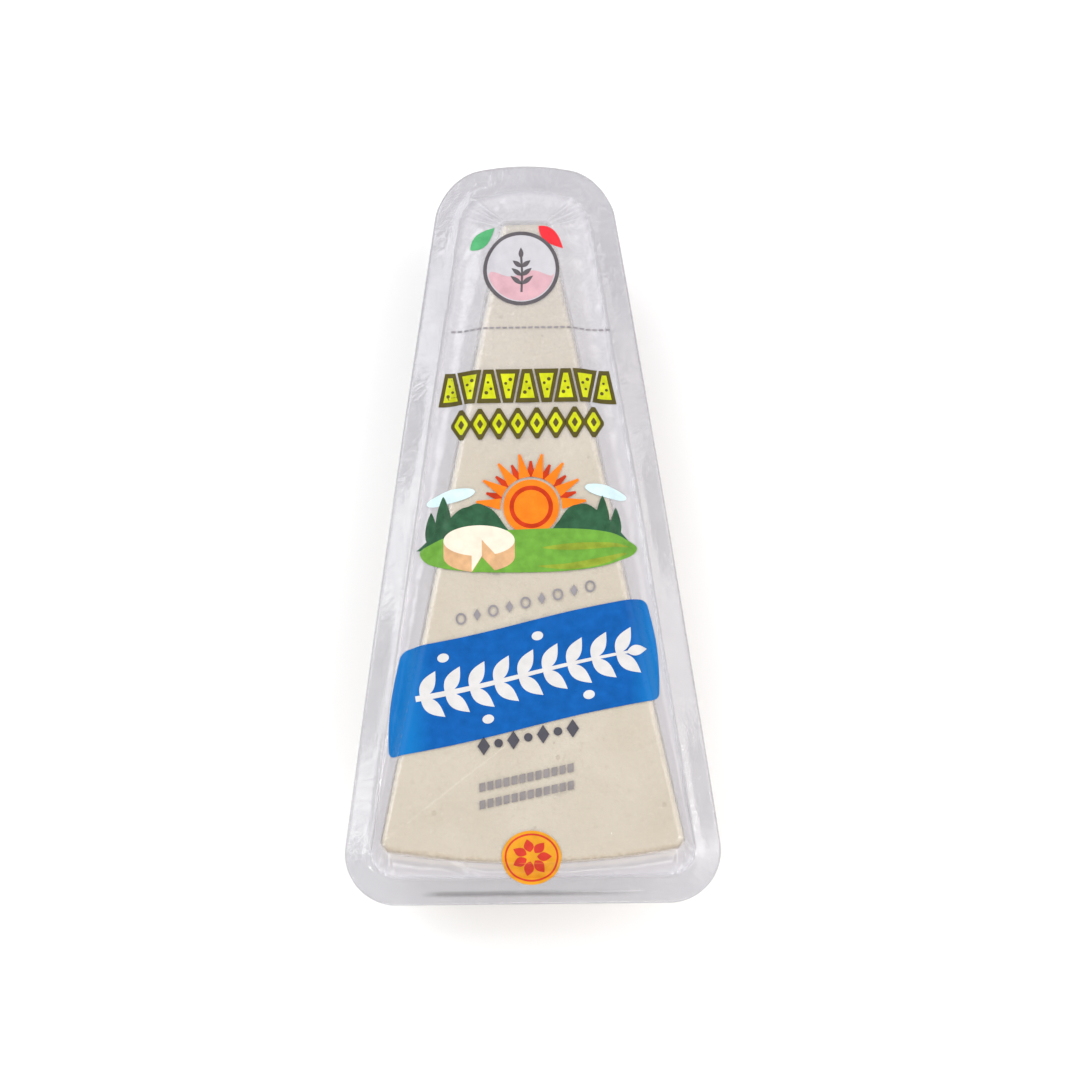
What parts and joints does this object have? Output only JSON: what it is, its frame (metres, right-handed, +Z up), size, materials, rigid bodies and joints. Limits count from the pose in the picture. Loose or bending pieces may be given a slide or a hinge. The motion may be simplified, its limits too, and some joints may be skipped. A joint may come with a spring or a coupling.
{
  "type": "vacuum-packed cheese wedge",
  "caption": "Hard sheep's milk cheese wedge, vacuum sealed in a clear tapered film pack with a welded rim, lying on its back.",
  "frame": {"origin": "centre of the pack's length and width, on the surface that it lies on", "axes": "+Z up out of the front film, +Y towards the narrow tip, +X to the right when the front is seen with the tip up"},
  "size_m": [0.0832, 0.17, 0.0316],
  "materials": {
    "film": "clear glossy packing film over pale cheese",
    "cheese": "matt ivory hard cheese, finely granular",
    "print": "glossy ink in flat fields of colour"
  },
  "bodies": {
    "root": {"sealed_pack": "film"}
  },
  "joints": []
}
